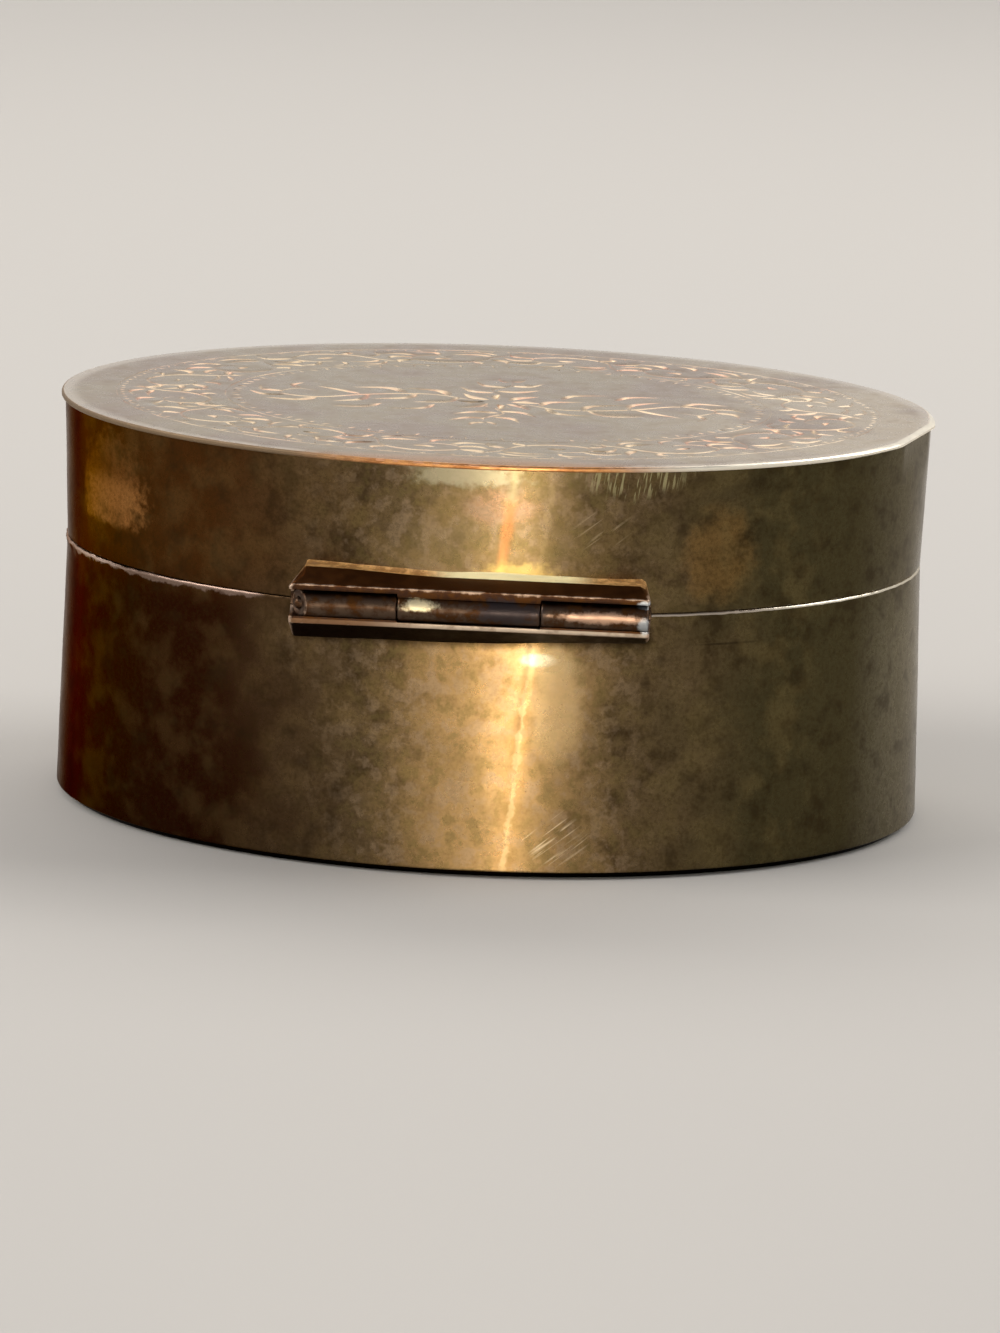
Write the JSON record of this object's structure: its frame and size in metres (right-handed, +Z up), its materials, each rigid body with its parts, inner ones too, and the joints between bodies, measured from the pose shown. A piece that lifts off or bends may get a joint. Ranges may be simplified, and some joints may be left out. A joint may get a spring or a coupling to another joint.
{
  "type": "trinket box",
  "caption": "Oval sheet-brass box with a flat engraved lid that swings on a stand-off hinge of bearers, knuckles and a pin.",
  "frame": {"origin": "on the table under the middle of the oval, in the plane of the bottom plate's underside", "axes": "+Z up, +X along the oval's length and the hinge pin, +Y towards the hinge"},
  "size_m": [0.09, 0.0699, 0.0418],
  "materials": {
    "base_brass": "aged, hand rubbed",
    "lid_brass": "aged, hand rubbed",
    "collar_brass": "satin, less tarnished",
    "engraved_brass": "engraved, worn bright",
    "hinge_brass": "dark tarnish, worn edges"
  },
  "bodies": {
    "base": {"base_plate": "base_brass", "base_wall": "base_brass", "inner_collar": "collar_brass", "lower_hinge_bearer": "hinge_brass", "left_hinge_knuckle": "hinge_brass", "right_hinge_knuckle": "hinge_brass", "hinge_pin": "hinge_brass"},
    "lid": {"lid_wall": "lid_brass", "lid_plate": "engraved_brass", "upper_hinge_bearer": "hinge_brass", "middle_hinge_knuckle": "hinge_brass"}
  },
  "joints": [
    {"name": "lid_hinge", "type": "hinge", "parent": "base", "child": "lid", "pos_m": [0, 0.0348, 0.0274], "axis": [-1, 0, 0], "range_deg": [0, 105]}
  ]
}
